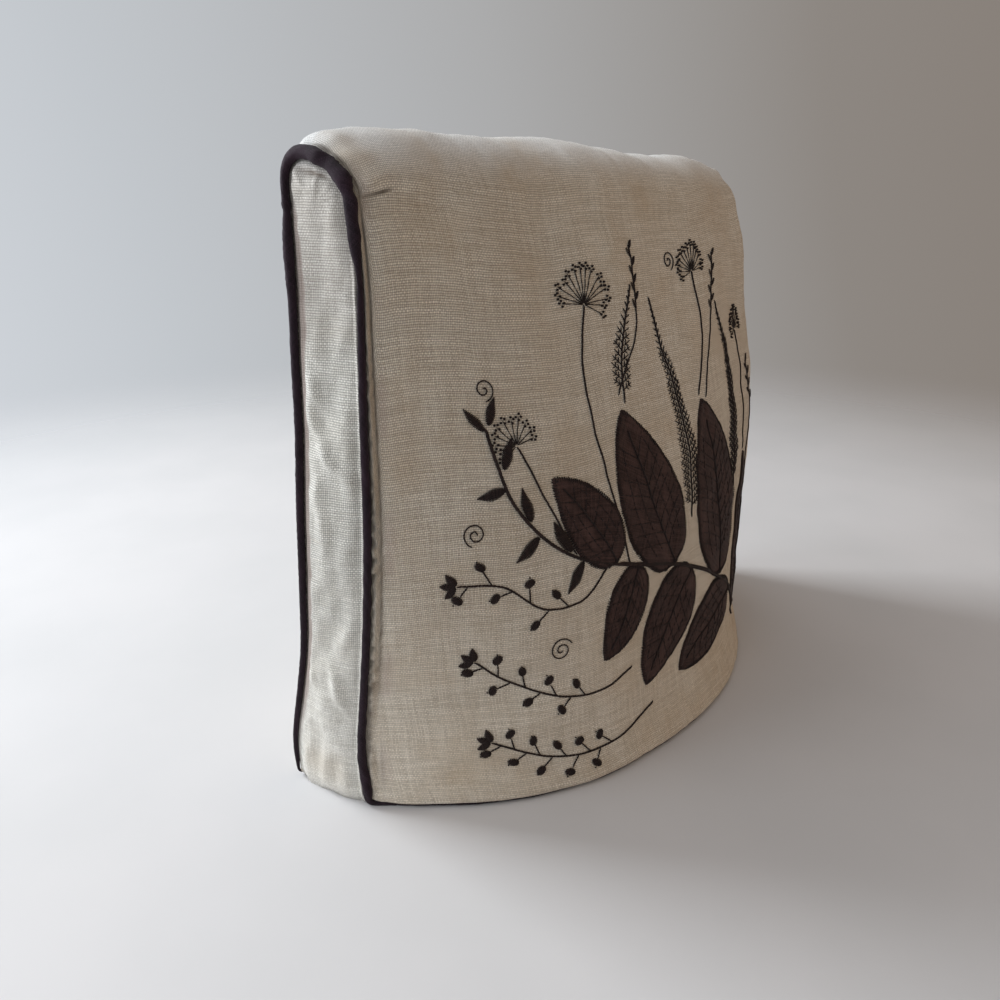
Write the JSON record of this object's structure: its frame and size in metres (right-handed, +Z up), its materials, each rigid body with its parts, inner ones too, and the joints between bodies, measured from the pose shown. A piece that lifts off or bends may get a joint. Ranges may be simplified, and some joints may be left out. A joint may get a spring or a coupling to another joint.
{
  "type": "tea cosy",
  "caption": "Padded linen tea cosy: a hollow cover, open below, with arched side gussets, dark piping in the seams and a dark leaf and flower applique on its front.",
  "frame": {"origin": "middle of the bounding box at the height that the cosy stands on", "axes": "+X towards the cosy's right end as its front is seen, +Y from front to back, +Z up; the front panel faces -Y"},
  "size_m": [0.3064, 0.1144, 0.2612],
  "materials": {
    "linen": "natural oatmeal linen, plain weave, matt",
    "gusset_linen": "the same natural linen, matt",
    "piping": "dark plum-brown cotton bias piping, soft sheen"
  },
  "bodies": {
    "root": {"wrap_panel": "linen", "gusset_left": "gusset_linen", "gusset_right": "gusset_linen", "piping_left": "piping", "piping_right": "piping", "piping_hem_front": "piping", "piping_hem_back": "piping"}
  },
  "joints": []
}
